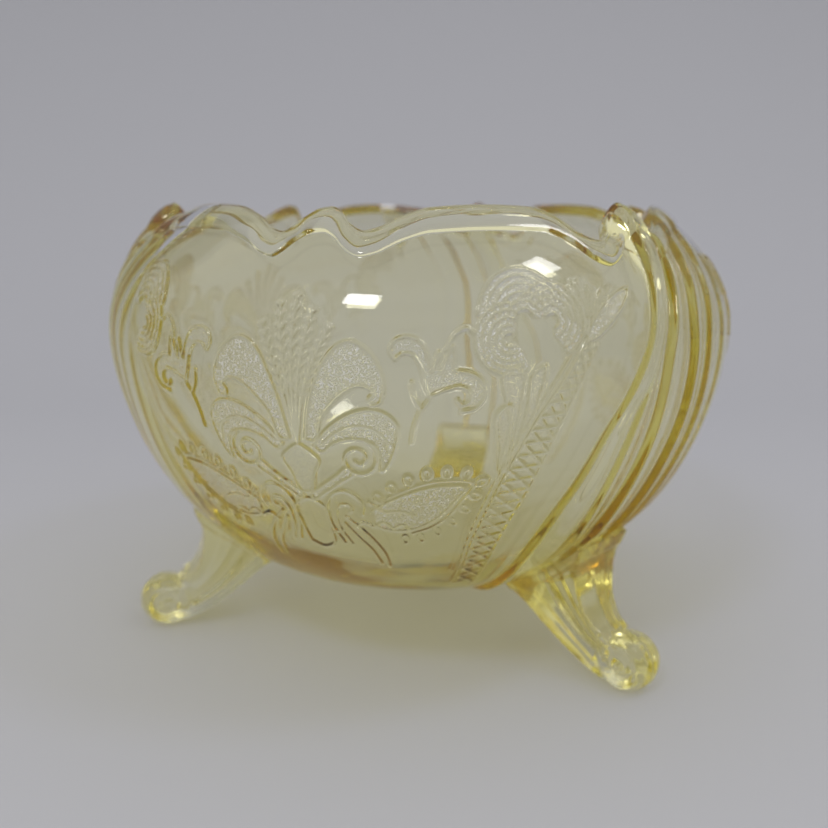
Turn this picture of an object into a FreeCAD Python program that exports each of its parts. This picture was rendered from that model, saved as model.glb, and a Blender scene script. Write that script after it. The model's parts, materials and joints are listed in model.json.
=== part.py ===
"""Three-footed cupped bowl of pressed glass, with a scalloped lip and swirled pleats.

Frame: millimetres, +Z up, origin on the bowl's axis in the plane the feet stand on.
Angles are in degrees about +Z, measured from -Y towards +X, so a point at angle a and
radius r is (r sin a, -r cos a).  The shape repeats every 120 degrees.  Each third is one
smooth panel, its raised right-hand border and one swirled, pleated section.
"""
import FreeCAD, Part
import math
import os

# ---- driving dimensions -------------------------------------------------------------
THIRDS = 3                    # panels, pleated sections and feet
THIRD = 360.0 / THIRDS
HEIGHT = 136.5                # table to the crests of the lip
BELLY_RADIUS = 98.0           # widest part of the bowl
BELLY_Z = 98.0
BASE_Z = 18.0                 # lowest point of the bowl's underside
RIM_INSET = 23.9              # how far the cupped wall leans in from belly to lip
CUP_POWER = 2.18              # shape of the cupped wall above the belly
BODY_POWERS = (3.0, 1.72)     # superellipse of the body below the belly
BASE_DISC_RADIUS = 28.0       # flat disc in the middle of the underside
WALL = 4.6                    # glass thickness of the wall
FLOOR_EXTRA = 1.2             # the floor is thicker by this much
FLOOR_FADE = (26.0, 70.0)     # heights between which the wall thins to WALL

PANEL_LEVEL = -0.4            # the panels lie this much below the plain body
PLEAT_COUNT = 6
CRESTS = (2.4, 1.5, 1.3, 0.8, 0.4, 0.2)              # height of each pleat's crest
VALLEYS = (-0.4, -0.2, -1.3, -1.1, -0.8, -0.6)       # foot of each pleat's steep face
STEP_WIDTHS = (0.9, 0.9, 1.2, 1.8, 2.2, 2.4)         # width of each pleat's steep face
STEP_PART = 0.3               # part of a pleat's columns that lie on its steep face
CUP_CREST = 1.4               # crest of the first pleat in the cupped part of the wall
CUP_FADE = (90.0, 108.0)      # heights between which the first crest drops to that
BRANCH_MIDDLE = 0.7           # level at which the first two pleats merge
BRANCH_FADE = (84.0, 98.0)    # heights between which they merge
RIDGE_FADE = (20.0, 30.0)     # heights between which the first pleat grows
PLEAT_FADE = (34.0, 50.0)     # heights between which the others grow
PANEL_FADE = (31.0, 46.0)     # heights between which the panel sinks in
LIP_FADE = 10.0               # the pleats get lower over this height below the lip
LIP_SHARE = 0.35              # share of their height that is left at the lip
FINGER_HEIGHT = 1.6           # rounded finger where the first pleat meets the lip
FINGER_OFFSET = 2.4           # its middle is this many degrees past the panel's border
FINGER_HALF_ANGLE = 3.6
FINGER_FADE = (110.0, 127.0)  # heights between which the finger grows
BEAD_WIDTH = 5.6              # rounded band along the lip
BEAD_DEPTH = 0.9              # how far the band stands out

# Border and pleat lines as (height, angle) points, from the lip down to the base.
PANEL_LEFT = ((136.5, -42.0), (119.0, -39.0), (105.0, -38.5), (97.0, -35.0), (88.0, -32.4),
              (66.0, -30.4), (50.0, -28.2), (18.0, -28.0))
PANEL_RIGHT = ((136.5, 56.5), (123.0, 54.4), (106.0, 51.5), (92.0, 47.5), (80.6, 43.7),
               (69.6, 41.1), (58.0, 38.2), (45.0, 36.0), (18.0, 34.0))
PLEAT_LINES = (
    ((136.5, 60.5), (110.0, 55.0), (98.0, 52.6), (82.6, 49.5), (59.0, 46.9), (18.0, 44.0)),
    ((136.5, 64.5), (126.6, 61.5), (108.0, 57.0), (98.0, 55.3), (80.0, 54.6), (59.0, 53.0), (18.0, 49.0)),
    ((136.5, 71.5), (120.0, 65.8), (105.0, 62.6), (84.0, 62.4), (67.0, 61.2), (18.0, 58.0)),
    ((136.5, 79.0), (115.0, 70.4), (100.0, 67.6), (80.0, 68.0), (60.0, 66.6), (18.0, 64.0)),
    ((136.5, 86.0), (112.0, 76.4), (98.0, 74.6), (74.0, 74.4), (18.0, 71.0)),
)

# Scallops of the lip as (angle, drop below HEIGHT) points over one third.
SCALLOPS = ((-55.5, 8.0), (-51.0, 6.0), (-46.0, 2.6), (-40.0, 0.8), (-30.0, 0.0), (-24.0, 0.3),
            (-16.4, 2.7), (-11.2, 5.9), (-9.4, 6.4), (-7.8, 5.3), (-5.8, 2.7), (-3.4, 0.8),
            (-1.2, 0.5), (0.8, 1.5), (3.4, 4.5), (6.0, 6.1), (8.4, 5.4), (12.9, 2.5), (18.0, 0.6),
            (28.0, 0.0), (38.0, 0.5), (42.0, 2.6), (46.4, 7.3), (49.4, 8.8), (52.4, 7.0),
            (55.4, 3.2), (58.6, 2.2), (61.6, 3.4))
SCALLOP_REACH = 30.0          # height below the lip over which the scallops die out

# ---- feet ---------------------------------------------------------------------------
FOOT_ANGLES = {"foot_right": 60.0, "foot_back": 180.0, "foot_left": -60.0}
ROLL_RADIUS = 8.6             # radius of the scroll that the foot stands on
ROLL_AXIS_RADIUS = 86.9       # its axis lies at this radius, square to the radius
PAD_DEPTH = 0.12              # depth of the small flat worn under the scroll
FOOT_INNER = ((49.0, 25.2), (56.5, 20.0), (63.0, 14.2), (69.5, 9.0), (77.0, 4.2), (83.0, 1.2))
FOOT_OUTER = ((76.3, 42.6), (74.2, 35.0), (74.4, 28.0), (76.2, 21.8), (79.6, 17.6), (82.6, 16.1))
ROOT_DEPTH = 2.2              # how deep the foot's outline runs into the bowl wall
ROOT_INSET = 1.6              # the buried root ends this far inside the outer edge
ROLL_END_RADIUS = 6.4         # the scroll is barrel-shaped, smaller at its ends
HALF_WIDTH_ROLL = 5.4         # half the length of the scroll
HALF_WIDTH_NECK = 4.4         # half the foot's width where it joins the scroll
HALF_WIDTH_ROOT = 11.4        # half its width at the root
WIDTH_REACH = (6.0, 38.0)     # distances from the scroll's axis over which it widens
WIDTH_POWER = 0.85            # how quickly it widens at first

# ---- resolution of the bowl's surface -----------------------------------------------
PANEL_COLUMNS = 44
PLEAT_PARTS = (0.0, 0.26, 0.36, 0.64, 0.94)    # columns across one pleat
BODY_ROWS = 15
CUP_ROWS = 8                  # rows between the belly and the band along the lip
BEAD_ROWS = (5.7, 5.1, 2.8, 0.9, 0.0)          # rows across the band, measured down from the lip
LIP_ROWS = 5
ROOT_STEPS = 6
WIDTH_STEPS = 4


def smoothstep(low, high, x):
    t = min(1.0, max(0.0, (x - low) / (high - low)))
    return t * t * (3.0 - 2.0 * t)


def hermite(points, x):
    """Smooth curve through (x, value) points whose x rises, without overshoot."""
    if x <= points[0][0]:
        return points[0][1]
    if x >= points[-1][0]:
        return points[-1][1]
    i = max(k for k in range(len(points) - 1) if points[k][0] <= x)
    slopes = [(b[1] - a[1]) / (b[0] - a[0]) for a, b in zip(points, points[1:])]

    def tangent(k):
        if k == 0:
            return slopes[0]
        if k == len(points) - 1:
            return slopes[-1]
        left, right = slopes[k - 1], slopes[k]
        return 0.0 if left * right <= 0.0 else 2.0 * left * right / (left + right)

    (x0, y0), (x1, y1) = points[i], points[i + 1]
    h = x1 - x0
    t = (x - x0) / h
    return ((1 + 2 * t) * (1 - t) ** 2 * y0 + t * (1 - t) ** 2 * h * tangent(i)
            + t * t * (3 - 2 * t) * y1 + t * t * (t - 1) * h * tangent(i + 1))


def line_angle(line, z):
    """Angle of a border or pleat line at height z."""
    return hermite(line[::-1], z)


def scallop_drop(angle):
    """How far the lip dips below HEIGHT at this angle."""
    first = SCALLOPS[0]
    closed = SCALLOPS + ((first[0] + THIRD, first[1]),)
    return hermite(closed, (angle - first[0]) % THIRD + first[0])


def body_radius(z):
    """Radius of the plain body, without panels and pleats, at height z."""
    if z >= BELLY_Z:
        lean = (z - BELLY_Z) / (HEIGHT - BELLY_Z)
        return BELLY_RADIUS - RIM_INSET * lean ** CUP_POWER
    depth = min(1.0, (BELLY_Z - z) / (BELLY_Z - BASE_Z))
    return BELLY_RADIUS * (1.0 - depth ** BODY_POWERS[1]) ** (1.0 / BODY_POWERS[0])


def body_height(radius):
    """Height of the plain body's underside at this radius."""
    share = 1.0 - (radius / BELLY_RADIUS) ** BODY_POWERS[0]
    return BELLY_Z - (BELLY_Z - BASE_Z) * share ** (1.0 / BODY_POWERS[1])


def wall_heights():
    """Heights of the surface's rows, from the flat disc up to the lip."""
    start = math.asin((BASE_DISC_RADIUS / BELLY_RADIUS) ** (BODY_POWERS[0] / 2.0))
    heights = []
    for row in range(BODY_ROWS):
        angle = start + (math.pi / 2.0 - start) * row / BODY_ROWS
        depth = math.cos(angle) ** (2.0 / BODY_POWERS[1])
        heights.append(BELLY_Z - (BELLY_Z - BASE_Z) * depth)
    for row in range(CUP_ROWS):
        heights.append(BELLY_Z + (HEIGHT - BEAD_ROWS[0] - BELLY_Z) * row / CUP_ROWS)
    return heights + [HEIGHT - depth for depth in BEAD_ROWS]


def wall_normal(z):
    """Outward normal (radial, vertical) of the plain body at height z."""
    step = 0.05
    low, high = max(z - step, BASE_Z + 0.01), min(z + step, HEIGHT)
    dr, dz = body_radius(high) - body_radius(low), high - low
    length = math.hypot(dr, dz)
    return dz / length, -dr / length


def zone_columns():
    """Columns of one third as (zone, part): zone 0 is the panel, 1 and up are the pleats."""
    columns = [(0, i / PANEL_COLUMNS) for i in range(PANEL_COLUMNS)]
    columns.append((0, 1.0 - 0.25 / PANEL_COLUMNS))
    for zone in range(1, PLEAT_COUNT + 1):
        columns += [(zone, part) for part in PLEAT_PARTS]
    return columns


def zone_ends(zone, z):
    """Angles at height z of the two lines that bound a zone."""
    lines = (PANEL_LEFT, PANEL_RIGHT) + PLEAT_LINES
    start = line_angle(lines[zone], z)
    if zone == PLEAT_COUNT:
        return start, line_angle(PANEL_LEFT, z) + THIRD
    return start, line_angle(lines[zone + 1], z)


def column_angle(zone, part, z):
    """Angle of a column; the first STEP_PART of a pleat is its narrow steep face."""
    start, end = zone_ends(zone, z)
    if zone == 0:
        return start + (end - start) * part
    arc = math.radians(end - start) * body_radius(z)
    step = STEP_WIDTHS[zone - 1] / arc
    if part < STEP_PART:
        share = part / STEP_PART * step
    else:
        share = step + (part - STEP_PART) / (1.0 - STEP_PART) * (1.0 - step)
    return start + (end - start) * share


def pleat_profile(zone, part, z):
    """Height across one pleat: a steep face up to the crest, then a long fall."""
    low, high = VALLEYS[zone - 1], CRESTS[zone - 1]
    end = VALLEYS[zone] if zone < PLEAT_COUNT else PANEL_LEVEL
    merged = smoothstep(*BRANCH_FADE, z)
    if zone == 1:
        high += (CUP_CREST - high) * smoothstep(*CUP_FADE, z)
        end += (BRANCH_MIDDLE - end) * merged
    if zone == 2:
        low += (BRANCH_MIDDLE - low) * merged
        high += (BRANCH_MIDDLE - high) * merged
    if part < STEP_PART:
        return low + (high - low) * part / STEP_PART
    return high + (end - high) * smoothstep(-0.1, 1.05, (part - STEP_PART) / (1.0 - STEP_PART))


def finger(angle, z):
    """Rounded finger that runs down from the lip along the panel's right-hand border."""
    off = angle - line_angle(PANEL_RIGHT, z) - FINGER_OFFSET
    return FINGER_HEIGHT * math.exp(-(off / FINGER_HALF_ANGLE) ** 2) * smoothstep(*FINGER_FADE, z)


def bead(depth):
    """Rounded band along the lip; depth is measured down from the lip."""
    across = min(1.0, 2.0 * depth / BEAD_WIDTH - 1.0)
    return BEAD_DEPTH * math.sqrt(1.0 - across ** 2)


def relief(zone, part, z, lip_z):
    """How far the outer face stands proud of the plain body."""
    panel = PANEL_LEVEL * smoothstep(*PANEL_FADE, z)
    extra = finger(column_angle(zone, part, z), z) + bead(lip_z - z)
    if zone == 0:
        return panel + extra
    share = smoothstep(*(RIDGE_FADE if zone == 1 else PLEAT_FADE), z)
    if zone > 2:
        share *= LIP_SHARE + (1.0 - LIP_SHARE) * smoothstep(0.0, LIP_FADE, lip_z - z)
    return panel + (pleat_profile(zone, part, z) - panel) * share + extra


def place(radius, angle, z):
    a = math.radians(angle)
    return FreeCAD.Vector(radius * math.sin(a), -radius * math.cos(a), z)


def column_points(zone, part, turn):
    """One column of the surface: up the outside, over the lip, down the inside."""
    drop = scallop_drop(column_angle(zone, part, HEIGHT))
    lip_z = HEIGHT - drop
    outer, inner = [], []
    for z in wall_heights():
        z -= drop * smoothstep(HEIGHT - SCALLOP_REACH, HEIGHT, z)
        angle = column_angle(zone, part, z) + turn
        out_r, out_z = wall_normal(z)
        proud = relief(zone, part, z, lip_z)
        outer.append((body_radius(z) + proud * out_r, z + proud * out_z, angle))
        wall = WALL + FLOOR_EXTRA * (1.0 - smoothstep(*FLOOR_FADE, z))
        inner.append((body_radius(z) - wall * out_r, z - wall * out_z, angle))
    floor_z = inner[0][1]
    inner = [(r, floor_z if k == 0 else z, a) for k, (r, z, a) in enumerate(inner)]
    lip = lip_arc(outer[-1], inner[-1])
    return [place(r, a, z) for r, z, a in outer[:-1] + lip + inner[-2::-1]]


def lip_arc(outside, inside):
    """Half-round of the lip, from the outer edge to the inner edge."""
    (r0, z0, angle), (r1, z1, _) = outside, inside
    mid_r, mid_z = (r0 + r1) / 2.0, (z0 + z1) / 2.0
    arm_r, arm_z = (r0 - r1) / 2.0, (z0 - z1) / 2.0
    points = []
    for step in range(LIP_ROWS + 1):
        turn = math.pi * step / LIP_ROWS
        c, s = math.cos(turn), math.sin(turn)
        points.append((mid_r + arm_r * c - arm_z * s, mid_z + arm_z * c + arm_r * s, angle))
    return points


def periodic_surface(columns):
    """Cubic surface over closed rows of control points."""
    across, along = len(columns), len(columns[0])
    degree = 3
    spans = along - degree
    surface = Part.BSplineSurface()
    surface.buildFromPolesMultsKnots(
        columns,
        [1] * (across + 1),
        [degree + 1] + [1] * (spans - 1) + [degree + 1],
        [float(k) for k in range(across + 1)],
        [float(k) for k in range(spans + 1)],
        True, False, degree, degree)
    return surface


def make_bowl():
    columns = []
    for third in range(THIRDS):
        for zone, part in zone_columns():
            columns.append(column_points(zone, part, third * THIRD))
    wall = periodic_surface(columns).toShape()
    rings = [edge for edge in wall.Edges if edge.isClosed()]
    discs = [Part.Face(Part.Wire([ring])) for ring in rings]
    shell = Part.makeShell([wall] + discs)
    shell.sewShape()
    bowl = Part.Solid(shell if shell.ShapeType == "Shell" else shell.Shells[0])
    return bowl


def spline_edge(points):
    curve = Part.BSplineCurve()
    curve.interpolate([FreeCAD.Vector(r, 0.0, z) for r, z in points])
    return curve.toShape()


def straight_edge(start, end):
    return Part.makeLine(FreeCAD.Vector(start[0], 0.0, start[1]), FreeCAD.Vector(end[0], 0.0, end[1]))


def root_points():
    """Top of the foot's outline, inside the thickness of the bowl wall."""
    start, end = FOOT_INNER[0][0], FOOT_OUTER[0][0] - ROOT_INSET
    points = []
    for step in range(ROOT_STEPS + 1):
        radius = start + (end - start) * step / ROOT_STEPS
        z = body_height(radius)
        out_r, out_z = wall_normal(z)
        points.append((radius - ROOT_DEPTH * out_r, z - ROOT_DEPTH * out_z))
    return points


def shank_face():
    """Side outline of the foot between the bowl and the scroll."""
    root = root_points()
    core = (ROLL_AXIS_RADIUS, ROLL_RADIUS)
    edges = [
        straight_edge(root[0], FOOT_INNER[0]),
        spline_edge(FOOT_INNER),
        straight_edge(FOOT_INNER[-1], core),
        straight_edge(core, FOOT_OUTER[-1]),
        spline_edge(FOOT_OUTER[::-1]),
        straight_edge(FOOT_OUTER[0], root[-1]),
        spline_edge(root[::-1]),
    ]
    return Part.Face(Part.Wire(Part.__sortEdges__(edges)))


def width_envelope():
    """Solid of revolution about the scroll's axis that limits the foot's width."""
    near, far = WIDTH_REACH
    limit = 2.0 * far
    samples = [(0.0, HALF_WIDTH_NECK), (near, HALF_WIDTH_NECK)]
    for step in range(1, WIDTH_STEPS + 1):
        share = step / WIDTH_STEPS
        widen = (HALF_WIDTH_ROOT - HALF_WIDTH_NECK) * share ** WIDTH_POWER
        samples.append((near + (far - near) * share, HALF_WIDTH_NECK + widen))
    samples.append((limit, HALF_WIDTH_ROOT))
    ring = [(d, w) for d, w in samples] + [(d, -w) for d, w in samples[::-1]]
    points = [FreeCAD.Vector(ROLL_AXIS_RADIUS, w, ROLL_RADIUS + d) for d, w in ring]
    face = Part.Face(Part.makePolygon(points + points[:1]))
    axis_point = FreeCAD.Vector(ROLL_AXIS_RADIUS, 0.0, ROLL_RADIUS)
    return face.revolve(axis_point, FreeCAD.Vector(0, 1, 0), 360.0)


def make_roll():
    """Barrel-shaped scroll at the end of the foot."""
    def spot(radius, along):
        return FreeCAD.Vector(ROLL_AXIS_RADIUS, along, ROLL_RADIUS + radius)

    first, last = spot(0.0, -HALF_WIDTH_ROLL), spot(0.0, HALF_WIDTH_ROLL)
    low, high = spot(ROLL_END_RADIUS, -HALF_WIDTH_ROLL), spot(ROLL_END_RADIUS, HALF_WIDTH_ROLL)
    barrel = Part.Arc(low, spot(ROLL_RADIUS, 0.0), high).toShape()
    outline = [Part.makeLine(first, low), barrel, Part.makeLine(high, last), Part.makeLine(last, first)]
    face = Part.Face(Part.Wire(outline))
    return face.revolve(spot(0.0, 0.0), FreeCAD.Vector(0, 1, 0), 360.0)


def make_foot(angle, bowl):
    """One scroll foot, trimmed to the bowl's outer face."""
    reach = 2.0 * HALF_WIDTH_ROOT
    shank = shank_face()
    shank.translate(FreeCAD.Vector(0.0, -reach / 2.0, 0.0))
    shank = shank.extrude(FreeCAD.Vector(0.0, reach, 0.0))
    foot = shank.common(width_envelope()).fuse(make_roll())
    ground = Part.makeBox(400.0, 400.0, 10.0, FreeCAD.Vector(-200.0, -200.0, PAD_DEPTH - 10.0))
    foot = foot.cut(ground)
    foot.translate(FreeCAD.Vector(0.0, 0.0, -PAD_DEPTH))
    foot.rotate(FreeCAD.Vector(0, 0, 0), FreeCAD.Vector(0, 0, 1), angle - 90.0)
    foot = foot.cut(bowl)
    return max(foot.Solids, key=lambda solid: solid.Volume)


def main():
    os.makedirs("parts", exist_ok=True)
    bowl = make_bowl()
    nodes = {"bowl": bowl}
    for name, angle in FOOT_ANGLES.items():
        nodes[name] = make_foot(angle, bowl)
    for name, shape in nodes.items():
        shape.exportStep("parts/%s.step" % name)
        box = shape.BoundBox
        print(name, "valid", shape.isValid(), "volume %.0f" % shape.Volume,
              "box %.1f %.1f %.1f / %.1f %.1f %.1f" % (
                  box.XMin, box.YMin, box.ZMin, box.XMax, box.YMax, box.ZMax))


main()
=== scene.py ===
"""Looks of the three-footed cupped glass bowl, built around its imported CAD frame.

Metres, +Z up.  Angles are degrees about +Z from -Y towards +X.  Inside the shape
functions lengths are millimetres of the model, scaled by MM at the end.
"""

import json
import math

import bmesh
import bpy
import numpy as np
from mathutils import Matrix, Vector


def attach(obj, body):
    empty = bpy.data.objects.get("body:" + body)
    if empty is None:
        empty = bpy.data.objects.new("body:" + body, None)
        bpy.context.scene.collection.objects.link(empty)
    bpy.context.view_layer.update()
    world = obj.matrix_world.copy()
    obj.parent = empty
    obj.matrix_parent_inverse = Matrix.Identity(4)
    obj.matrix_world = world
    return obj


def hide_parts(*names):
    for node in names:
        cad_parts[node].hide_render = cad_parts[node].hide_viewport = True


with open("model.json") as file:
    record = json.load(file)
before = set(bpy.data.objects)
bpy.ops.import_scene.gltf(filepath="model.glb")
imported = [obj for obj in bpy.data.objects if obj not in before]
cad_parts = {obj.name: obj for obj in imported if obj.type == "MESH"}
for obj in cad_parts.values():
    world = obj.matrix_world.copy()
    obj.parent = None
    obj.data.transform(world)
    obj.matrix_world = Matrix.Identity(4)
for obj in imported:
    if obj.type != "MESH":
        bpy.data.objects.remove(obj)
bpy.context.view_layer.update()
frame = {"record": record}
MM = 0.001

# ---- sizes of the bowl, in millimetres and degrees ----------------------------------
HEIGHT = 136.5
BELLY_RADIUS = 98.0
BELLY_Z = 98.0                 # height of the widest place
BASE_Z = 18.0                  # underside, above the feet's ground
RIM_INSET = 23.9               # how much narrower the lip is than the belly
CUP_POWER = 2.18               # curve of the wall above the belly
BODY_POWERS = (3.0, 1.72)      # superellipse of the wall below the belly
BASE_DISC_RADIUS = 28.0
WALL = 4.6
FLOOR_EXTRA = 0.8              # added thickness of the floor
FLOOR_FADE = (26.0, 70.0)      # heights between which it fades
THIRDS = 3
THIRD = 360.0 / THIRDS

# Relief is measured outward from the plain wall.  Every FADE is a pair of heights
# between which a form comes or goes.
PANEL_LEVEL = -0.4
PLEAT_COUNT = 6
CRESTS = (1.6, 1.3, 1.1, 0.6, 0.2, 0.0)
VALLEYS = (-0.4, -0.2, -1.3, -1.1, -0.7, -0.5)
STEP_WIDTHS = (0.7, 0.8, 1.2, 2.0, 2.6, 3.0)    # of the steep face before each crest
STEP_PART = 0.3                # share of a pleat's columns on its steep face
FINGER_HEIGHT = 1.6
FINGER_OFFSET = 2.4
FINGER_HALF_ANGLE = 3.6
FINGER_FADE = (110.0, 127.0)
BEAD_WIDTH = 5.6
BEAD_DEPTH = 0.9
CUP_CREST = 1.4                # first crest above the belly
CUP_FADE = (90.0, 108.0)
BRANCH_MIDDLE = 0.7            # level at which the first two pleats merge near the lip
BRANCH_FADE = (84.0, 98.0)
RIDGE_FADE = (20.0, 30.0)
PLEAT_FADE = (34.0, 50.0)
PANEL_FADE = (31.0, 46.0)
LIP_FADE = 10.0                # distance below the lip over which the pleats soften
LIP_SHARE = 0.35               # what is left of them at the lip
SCALLOP_REACH = 30.0           # how far down the wall follows the scallops

# (height, angle) of the borders from panel to pleats and between pleats, lip first
PANEL_LEFT = ((136.5, -42.0), (119.0, -39.0), (105.0, -38.5), (97.0, -35.0), (88.0, -32.4),
              (66.0, -30.4), (50.0, -28.2), (18.0, -28.0))
PANEL_RIGHT = ((136.5, 56.5), (123.0, 54.4), (106.0, 51.5), (92.0, 47.5), (80.6, 43.7),
               (69.6, 41.1), (58.0, 38.2), (45.0, 36.0), (18.0, 34.0))
PLEAT_LINES = (
    ((136.5, 60.5), (110.0, 55.0), (98.0, 52.6), (82.6, 49.5), (59.0, 46.9), (18.0, 44.0)),
    ((136.5, 64.5), (126.6, 61.5), (108.0, 57.0), (98.0, 55.3), (80.0, 54.6), (59.0, 53.0), (18.0, 49.0)),
    ((136.5, 71.5), (120.0, 65.8), (105.0, 62.6), (84.0, 62.4), (67.0, 61.2), (18.0, 58.0)),
    ((136.5, 79.0), (115.0, 70.4), (100.0, 67.6), (80.0, 68.0), (60.0, 66.6), (18.0, 64.0)),
    ((136.5, 86.0), (112.0, 76.4), (98.0, 74.6), (74.0, 74.4), (18.0, 71.0)),
)
# (angle, depth below the highest lip) round one third of the bowl
SCALLOPS = ((-55.5, 8.0), (-51.0, 6.0), (-46.0, 2.6), (-40.0, 0.8), (-30.0, 0.0), (-24.0, 0.3),
            (-16.4, 2.7), (-11.2, 5.9), (-9.4, 6.4), (-7.8, 5.3), (-5.8, 2.7), (-3.4, 0.8),
            (-1.2, 0.5), (0.8, 1.5), (3.4, 4.5), (6.0, 6.1), (8.4, 5.4), (12.9, 2.5), (18.0, 0.6),
            (28.0, 0.0), (38.0, 0.5), (42.0, 2.6), (46.4, 7.3), (49.4, 8.8), (52.4, 7.0),
            (55.4, 3.2), (58.6, 2.2), (61.6, 3.4))

# ---- sizes of the feet --------------------------------------------------------------
PADS = {mount["name"]: mount["pos_m"] for mount in frame["record"]["mounts"]}
FOOT_ANGLES = {
    name.replace("pad", "foot"): math.degrees(math.atan2(x, -y)) for name, (x, y, _) in PADS.items()
}
ROLL_AXIS_RADIUS = math.hypot(*PADS["pad_right"][:2]) / MM
ROLL_RADIUS = 8.6
PAD_DEPTH = 0.12                    # how much of the scroll is worn flat where it stands
# (radius, height) along the side outline, from the bowl to the scroll
FOOT_INNER = ((49.0, 25.2), (56.5, 20.0), (63.0, 14.2), (69.5, 9.0), (77.0, 4.2), (83.0, 1.2))
FOOT_OUTER = ((76.3, 42.6), (74.2, 35.0), (74.4, 28.0), (76.2, 21.8), (79.6, 17.6), (82.6, 16.1))
ROLL_END_RADIUS = 6.4
HALF_WIDTH_ROLL = 5.4
HALF_WIDTH_NECK = 4.4
HALF_WIDTH_ROOT = 11.4
WIDTH_REACH = (6.0, 38.0)
WIDTH_POWER = 0.85
ROOT_DEPTH = 2.2                    # how far the foot runs into the bowl's glass
ROOT_INSET = 1.6
PRISM_HALF = 6.0
VOXEL = 0.3
SMOOTH_PASSES = 8
FOOT_RIM = 0.55
FOOT_RIM_WIDTH = 0.9
FOOT_FLUTES = (0.2, 0.4, 0.6)       # grooves across the side that turns right
FLUTE_DEPTH = 0.35
FLUTE_WIDTH = 0.06
FLUTED_BORDER, PLAIN_BORDER = 0.78, 0.52   # where the raised outer border starts, per side
BORDER_HEIGHT = 0.5
BORDER_EDGE = 0.035
FLAT_SIDE = (0.80, 0.97)            # share of the half width where the side face begins
SHANK_START = (-1.0, 2.5)           # from the scroll's edge, as the next two
SCROLL_EDGE = (-0.6, 0.6)
BARREL_EDGE = (-1.6, -0.4)
COIL_PITCH = 3.6
COIL_HEIGHT = 0.2
COIL_LEVEL = 0.3
COIL_START = (0.6, 2.0)
EYE_HEIGHT = 0.35
EYE_WIDTH = 1.5
ROLL_RINGS = (-0.45, 0.0, 0.45)
RING_DEPTH = 0.28
RING_WIDTH = 0.13
COLLAR_HEIGHT = 0.45
COLLAR_FADE = (1.9, 2.7)            # distance from the bowl over which the collar ends
FREE_ROLL_EDGE = (0.2, 2.0)
FREE_ROLL_SIDE = (0.35, 0.8)
FREE_ROLL_CENTRE = (2.0, 5.0)


# ---- curves -------------------------------------------------------------------------
def smoothstep(low, high, x):
    t = np.clip((x - low) / (high - low), 0.0, 1.0)
    return t * t * (3.0 - 2.0 * t)


def hermite(points, x):
    """Smooth curve through (x, value) points whose x rises, without overshoot."""
    px = np.array([p[0] for p in points], float)
    py = np.array([p[1] for p in points], float)
    slope = np.diff(py) / np.diff(px)
    tangent = np.zeros(len(px))
    tangent[0], tangent[-1] = slope[0], slope[-1]
    left, right = slope[:-1], slope[1:]
    same = left * right > 0.0
    total = np.where(same, left + right, 1.0)
    tangent[1:-1] = np.where(same, 2.0 * left * right / total, 0.0)
    x = np.clip(x, px[0], px[-1])
    i = np.clip(np.searchsorted(px, x, side="right") - 1, 0, len(px) - 2)
    h = px[i + 1] - px[i]
    t = (x - px[i]) / h
    return ((1 + 2 * t) * (1 - t) ** 2 * py[i] + t * (1 - t) ** 2 * h * tangent[i]
            + t * t * (3 - 2 * t) * py[i + 1] + t * t * (t - 1) * h * tangent[i + 1])


def spline(points, count):
    """Smooth parametric curve through the points."""
    p = np.array(points, float)
    length = np.concatenate([[0.0], np.cumsum(np.hypot(*np.diff(p, axis=0).T))])
    t = np.linspace(0.0, length[-1], count)
    slope = np.gradient(p, length, axis=0)
    i = np.clip(np.searchsorted(length, t, side="right") - 1, 0, len(p) - 2)
    h = (length[i + 1] - length[i])[:, None]
    s = ((t - length[i])[:, None]) / h
    return ((1 + 2 * s) * (1 - s) ** 2 * p[i] + s * (1 - s) ** 2 * h * slope[i]
            + s * s * (3 - 2 * s) * p[i + 1] + s * s * (s - 1) * h * slope[i + 1])


def line_angle(line, z):
    """Angle at height z of a border listed from the lip down."""
    return hermite(line[::-1], z)


def scallop_drop(angle):
    """How far the lip lies below the bowl's full height."""
    first = SCALLOPS[0]
    closed = SCALLOPS + ((first[0] + THIRD, first[1]),)
    return hermite(closed, (angle - first[0]) % THIRD + first[0])


# ---- the plain body -----------------------------------------------------------------
def body_radius(z):
    """Radius of the plain wall, without relief."""
    lean = np.clip((z - BELLY_Z) / (HEIGHT - BELLY_Z), 0.0, None)
    depth = np.clip((BELLY_Z - z) / (BELLY_Z - BASE_Z), 0.0, 1.0)
    cup = BELLY_RADIUS - RIM_INSET * lean ** CUP_POWER
    body = BELLY_RADIUS * (1.0 - depth ** BODY_POWERS[1]) ** (1.0 / BODY_POWERS[0])
    return np.where(z >= BELLY_Z, cup, body)


def wall_normal(z):
    """Outward direction of the plain wall as (radius, height)."""
    step = 0.05
    low, high = np.maximum(z - step, BASE_Z + 0.01), np.minimum(z + step, HEIGHT)
    dr, dz = body_radius(high) - body_radius(low), high - low
    length = np.hypot(dr, dz)
    return dz / length, -dr / length


# heights, and how closely the rows lie there
ROW_CLOSENESS = ((18.0, 30.0, 36.0, 120.0, 124.0, 128.0, 136.5), (0.35, 0.5, 1.0, 1.0, 0.6, 1.0, 1.0))


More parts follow.
